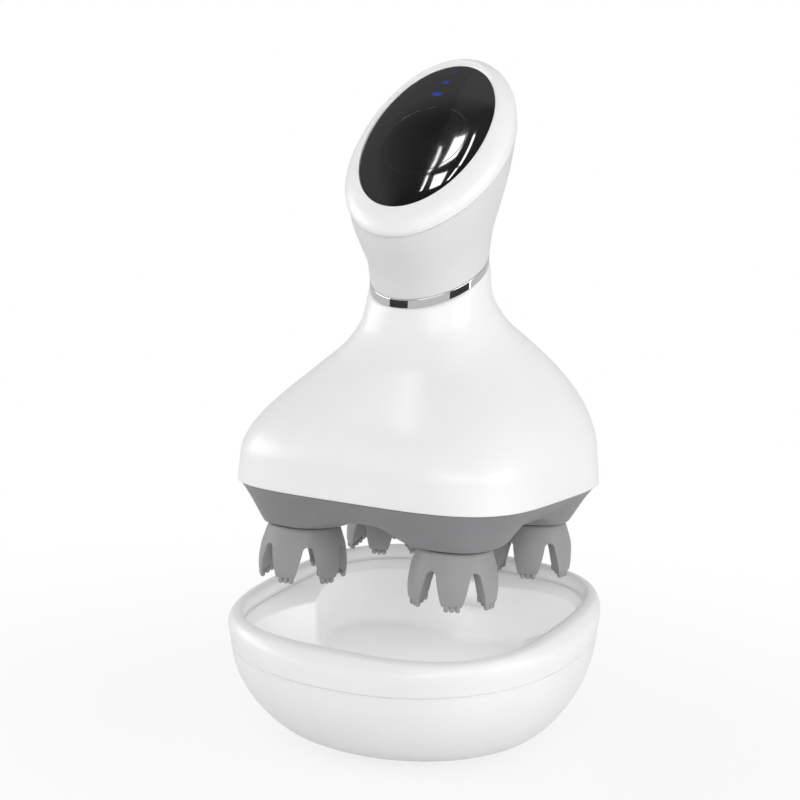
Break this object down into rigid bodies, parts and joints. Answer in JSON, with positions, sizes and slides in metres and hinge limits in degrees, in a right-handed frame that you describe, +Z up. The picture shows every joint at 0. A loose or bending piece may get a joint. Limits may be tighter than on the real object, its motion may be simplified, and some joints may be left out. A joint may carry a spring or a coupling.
{
  "type": "electric scalp massager",
  "caption": "Hand-held electric scalp massager with kneading claw heads, an oblique control panel and a push button, shown lifted above its charging dock.",
  "frame": {"origin": "centre of the dock's feet, on the surface that it stands on", "axes": "+Z up along the massager's and the heads' axes, -Y towards the front that the control panel faces, +X to the right seen from the front"},
  "size_m": [0.1242, 0.1242, 0.2346],
  "materials": {
    "shell_white": "gloss white moulded ABS",
    "dock_white": "gloss white moulded ABS",
    "tray_white": "satin off-white moulded ABS",
    "panel_black": "piano black",
    "chrome_trim": "bright plated",
    "cover_silicone": "matte grey silicone",
    "claw_silicone": "matte grey silicone",
    "seal_rubber": "matte black",
    "foot_rubber": "matte dark grey",
    "inner_plastic": "as moulded",
    "gear_plastic": "natural acetal",
    "board_green": "solder mask",
    "cell_wrap": "shrink sleeve",
    "motor_can": "drawn can",
    "steel": "plain",
    "bush_bronze": "sintered",
    "gold": "gold plated",
    "light_blue": "clear lens over a blue light"
  },
  "bodies": {
    "dock": {"dock_bottom_shell": "dock_white", "dock_side": "dock_white", "dock_rim": "dock_white", "dock_tray": "tray_white", "dock_floor": "tray_white", "well_front_left": "tray_white", "well_front_right": "tray_white", "well_back_left": "tray_white", "well_back_right": "tray_white", "dock_feet": "foot_rubber", "dock_screws": "steel", "dock_board": "board_green", "charging_inlet": "steel", "contact_block": "tray_white"},
    "charging_pin_left": {"charging_pin_left": "gold"},
    "charging_pin_right": {"charging_pin_right": "gold"},
    "massager": {"upper_shell": "shell_white", "shell_seal": "seal_rubber", "chrome_ring": "chrome_trim", "neck_shell": "shell_white", "collar": "shell_white", "panel_lens": "panel_black", "panel_guide": "inner_plastic", "panel_board": "board_green", "indicator_lights": "light_blue", "button_switch": "inner_plastic", "battery_cell": "cell_wrap", "battery_holder": "inner_plastic", "control_board": "board_green", "motor": "motor_can", "gearbox": "motor_can", "gear_deck": "inner_plastic", "deck_screws": "steel", "lower_frame": "inner_plastic", "frame_screws": "steel", "silicone_cover": "cover_silicone", "head_bushes": "bush_bronze", "shaft_seals": "seal_rubber", "contact_pads": "gold"},
    "power_button": {"power_button": "panel_black"},
    "drive": {"drive_gear": "gear_plastic", "drive_shaft": "steel"},
    "head_front_left": {"front_left_claws": "claw_silicone", "front_left_hub": "inner_plastic", "front_left_shaft": "steel", "front_left_gear": "gear_plastic"},
    "head_front_right": {"front_right_claws": "claw_silicone", "front_right_hub": "inner_plastic", "front_right_shaft": "steel", "front_right_gear": "gear_plastic"},
    "head_back_left": {"back_left_claws": "claw_silicone", "back_left_hub": "inner_plastic", "back_left_shaft": "steel", "back_left_gear": "gear_plastic"},
    "head_back_right": {"back_right_claws": "claw_silicone", "back_right_hub": "inner_plastic", "back_right_shaft": "steel", "back_right_gear": "gear_plastic"}
  },
  "joints": [
    {"name": "massager_lift", "type": "slide", "parent": "dock", "child": "massager", "axis": [0, 0, 1], "range_m": [-0.0322, 0.02]},
    {"name": "pin_left_press", "type": "slide", "parent": "dock", "child": "charging_pin_left", "axis": [0, 0, -1], "range_m": [0, 0.001], "stiffness_N_per_m": 150, "springref_m": -0.001},
    {"name": "pin_right_press", "type": "slide", "parent": "dock", "child": "charging_pin_right", "axis": [0, 0, -1], "range_m": [0, 0.001], "stiffness_N_per_m": 150, "springref_m": -0.001},
    {"name": "power_button_press", "type": "slide", "parent": "massager", "child": "power_button", "axis": [0, 0.7396, -0.673], "range_m": [0, 0.0007], "stiffness_N_per_m": 600, "springref_m": -0.0004},
    {"name": "drive_turn", "type": "hinge", "parent": "massager", "child": "drive", "pos_m": [0, 0, 0.096], "axis": [0, 0, 1], "continuous": true},
    {"name": "front_left_head_turn", "type": "hinge", "parent": "massager", "child": "head_front_left", "pos_m": [-0.029, -0.029, 0.09], "axis": [0, 0, 1], "continuous": true},
    {"name": "front_right_head_turn", "type": "hinge", "parent": "massager", "child": "head_front_right", "pos_m": [0.029, -0.029, 0.09], "axis": [0, 0, 1], "continuous": true},
    {"name": "back_left_head_turn", "type": "hinge", "parent": "massager", "child": "head_back_left", "pos_m": [-0.029, 0.029, 0.09], "axis": [0, 0, 1], "continuous": true},
    {"name": "back_right_head_turn", "type": "hinge", "parent": "massager", "child": "head_back_right", "pos_m": [0.029, 0.029, 0.09], "axis": [0, 0, 1], "continuous": true}
  ],
  "couplings": [
    {"joint": "front_left_head_turn", "follows": "drive_turn", "ratio": -1.7333},
    {"joint": "front_right_head_turn", "follows": "drive_turn", "ratio": -1.7333},
    {"joint": "back_left_head_turn", "follows": "drive_turn", "ratio": -1.7333},
    {"joint": "back_right_head_turn", "follows": "drive_turn", "ratio": -1.7333}
  ]
}
